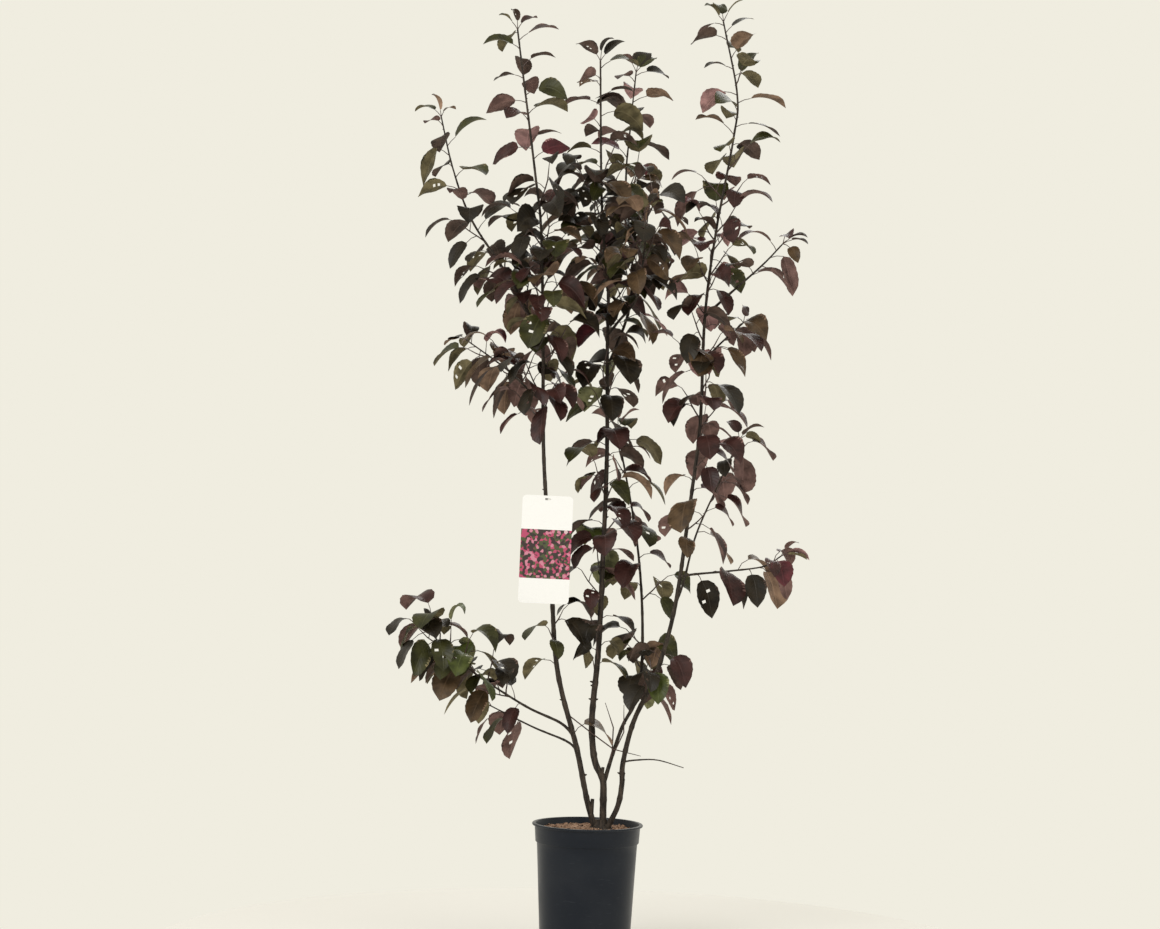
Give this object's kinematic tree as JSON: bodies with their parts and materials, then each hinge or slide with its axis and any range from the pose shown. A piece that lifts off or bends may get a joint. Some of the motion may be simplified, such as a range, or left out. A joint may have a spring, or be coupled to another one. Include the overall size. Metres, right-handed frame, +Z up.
{
  "type": "potted mokum crabapple",
  "caption": "Upright many-stemmed ornamental fruit bush with dark wine and olive leaves, standing in a round tapered nursery pot, with a hanging picture card.",
  "frame": {"origin": "centre of the pot's flat underside", "axes": "+Z up along the plant; the picture's camera looks along +Y with +X to its right"},
  "size_m": [0.7173, 0.4324, 1.6458],
  "materials": {
    "pot_plastic": "satin black moulded plastic, lightly scuffed",
    "bark_soil": "damp bark chips and peat",
    "bark": "smooth young bark with pale pores",
    "leaves": "wine, bronze and olive leaves with paler undersides",
    "card": "smooth white printed card",
    "tie": "thin pale loop"
  },
  "bodies": {
    "root": {"bough_back": "bark", "bough_far_left": "bark", "bough_front": "bark", "bough_left_middle": "bark", "bough_low_back_left": "bark", "bough_low_left": "bark", "bough_right_arm": "bark", "bough_right_back": "bark", "bough_right_low": "bark", "bough_right_middle": "bark", "label_card": "card", "label_tie": "tie", "leaves_back_crown": "leaves", "leaves_back_tip": "leaves", "leaves_far_left_tip": "leaves", "leaves_front_crown": "leaves", "leaves_left_crown": "leaves", "leaves_left_inner": "leaves", "leaves_left_shoulder": "leaves", "leaves_left_skirt": "leaves", "leaves_left_tip": "leaves", "leaves_low_back_left": "leaves", "leaves_low_centre": "leaves", "leaves_low_left": "leaves", "leaves_low_left_inner": "leaves", "leaves_low_middle": "leaves", "leaves_middle_column": "leaves", "leaves_middle_crown": "leaves", "leaves_middle_low": "leaves", "leaves_middle_tip": "leaves", "leaves_right_arm": "leaves", "leaves_right_back": "leaves", "leaves_right_crown": "leaves", "leaves_right_edge": "leaves", "leaves_right_low": "leaves", "leaves_right_lower": "leaves", "leaves_right_middle": "leaves", "leaves_right_tip": "leaves", "pot": "pot_plastic", "soil": "bark_soil", "stem_inner": "bark", "stem_left": "bark", "stem_middle": "bark", "stem_right": "bark", "trunk_foot": "bark", "twig_low_right": "bark"}
  },
  "joints": []
}
